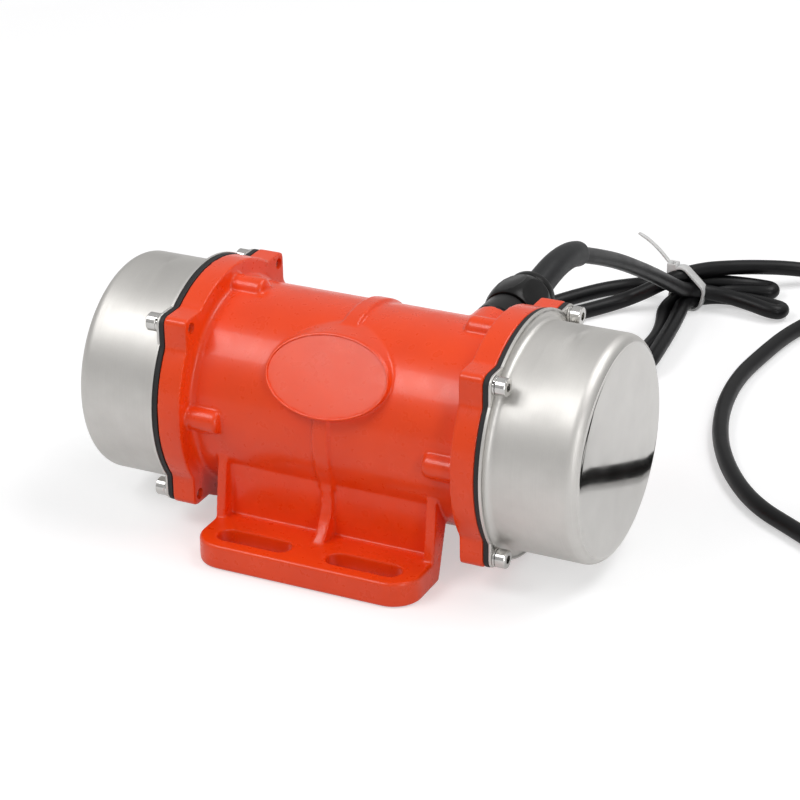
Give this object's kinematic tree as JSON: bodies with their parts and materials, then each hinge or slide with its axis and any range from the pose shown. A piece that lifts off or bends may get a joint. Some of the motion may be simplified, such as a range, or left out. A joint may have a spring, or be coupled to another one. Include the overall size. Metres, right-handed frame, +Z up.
{
  "type": "vibration motor",
  "caption": "Foot-mounted electric vibration motor: cast barrel with slotted feet, capped unbalanced weights at both shaft ends, cable gland and long plug-in cable.",
  "frame": {"origin": "on the mounting plane, at the centre of the four foot slots", "axes": "+X along the shaft towards the cable end, +Y away from the side with the oval pad, +Z up from the mounting plane"},
  "size_m": [0.3548, 0.3537, 0.0952],
  "materials": {
    "vermilion_paint": "glossy powder paint",
    "lamination_steel": "stacked sheet, matt",
    "copper_winding": "lacquered copper wire",
    "core_insulation": "smooth",
    "shield_casting": "as cast",
    "bright_steel": "bright plated",
    "bearing_steel": "ground and polished",
    "cage_nylon": "moulded",
    "spring_steel": "phosphated",
    "cover_stainless": "satin drawn wall, flat end close to a mirror",
    "gasket_rubber": "matt",
    "gland_nylon": "moulded, satin",
    "cable_sheath": "smooth satin sheath",
    "sleeve_rubber": "satin",
    "tie_nylon": "natural translucent nylon",
    "plug_moulding": "moulded, satin",
    "pin_brass": "nickel plated",
    "shaft_steel": "turned",
    "cage_aluminium": "die cast",
    "weight_steel": "flame cut and oiled",
    "scale_aluminium": "plain sheet",
    "black_bolt": "black oxide"
  },
  "bodies": {
    "motor_frame": {"housing": "vermilion_paint", "stator_core": "lamination_steel", "stator_winding": "copper_winding", "lead_wires": "core_insulation", "end_shield_right": "shield_casting", "end_shield_left": "shield_casting", "shield_screws": "bright_steel", "bearing_outer_ring_right": "bearing_steel", "bearing_outer_ring_left": "bearing_steel", "bearing_circlip_right": "spring_steel", "bearing_circlip_left": "spring_steel", "wave_washer": "spring_steel", "end_cover_right": "cover_stainless", "end_cover_left": "cover_stainless", "cover_gasket_right": "gasket_rubber", "cover_gasket_left": "gasket_rubber", "cover_screws": "bright_steel", "spring_washers": "bright_steel", "gland_body": "gland_nylon", "gland_nut": "gland_nylon", "gland_washer": "gasket_rubber", "gland_seal": "gasket_rubber", "cable_entry": "cable_sheath", "bend_sleeve": "sleeve_rubber", "cable_lead": "cable_sheath", "cable_hank": "cable_sheath", "hank_tie": "tie_nylon", "cable_run": "cable_sheath", "cable_coil": "cable_sheath", "coil_tie": "tie_nylon", "cable_tail": "cable_sheath", "plug_body": "plug_moulding", "plug_pins": "pin_brass"},
    "rotor": {"rotor_shaft": "shaft_steel", "rotor_core": "lamination_steel", "rotor_cage": "cage_aluminium", "weight_keys": "shaft_steel", "bearing_inner_ring_right": "bearing_steel", "bearing_inner_ring_left": "bearing_steel", "spacer_sleeve_right": "shaft_steel", "spacer_sleeve_left": "shaft_steel", "fixed_weight_right": "weight_steel", "fixed_weight_left": "weight_steel", "scale_disc_right": "scale_aluminium", "scale_disc_left": "scale_aluminium", "shaft_circlip_right": "spring_steel", "shaft_circlip_left": "spring_steel"},
    "ball_set_right": {"bearing_balls_right": "bearing_steel", "ball_cage_right": "cage_nylon"},
    "ball_set_left": {"bearing_balls_left": "bearing_steel", "ball_cage_left": "cage_nylon"},
    "outer_weight_right": {"adjustable_weight_right": "weight_steel", "clamp_bolt_right": "black_bolt"},
    "outer_weight_left": {"adjustable_weight_left": "weight_steel", "clamp_bolt_left": "black_bolt"}
  },
  "joints": [
    {"name": "rotor_spin", "type": "hinge", "parent": "motor_frame", "child": "rotor", "pos_m": [0, 0, 0.049], "axis": [1, 0, 0], "continuous": true},
    {"name": "ball_spin_right", "type": "hinge", "parent": "motor_frame", "child": "ball_set_right", "pos_m": [0, 0, 0.049], "axis": [1, 0, 0], "continuous": true},
    {"name": "ball_spin_left", "type": "hinge", "parent": "motor_frame", "child": "ball_set_left", "pos_m": [0, 0, 0.049], "axis": [1, 0, 0], "continuous": true},
    {"name": "weight_adjust_right", "type": "hinge", "parent": "rotor", "child": "outer_weight_right", "pos_m": [0, 0, 0.049], "axis": [1, 0, 0], "range_deg": [0, 180]},
    {"name": "weight_adjust_left", "type": "hinge", "parent": "rotor", "child": "outer_weight_left", "pos_m": [0, 0, 0.049], "axis": [1, 0, 0], "range_deg": [0, 180]}
  ],
  "couplings": [
    {"joint": "ball_spin_right", "follows": "rotor_spin", "ratio": 0.3815},
    {"joint": "ball_spin_left", "follows": "rotor_spin", "ratio": 0.3815}
  ]
}
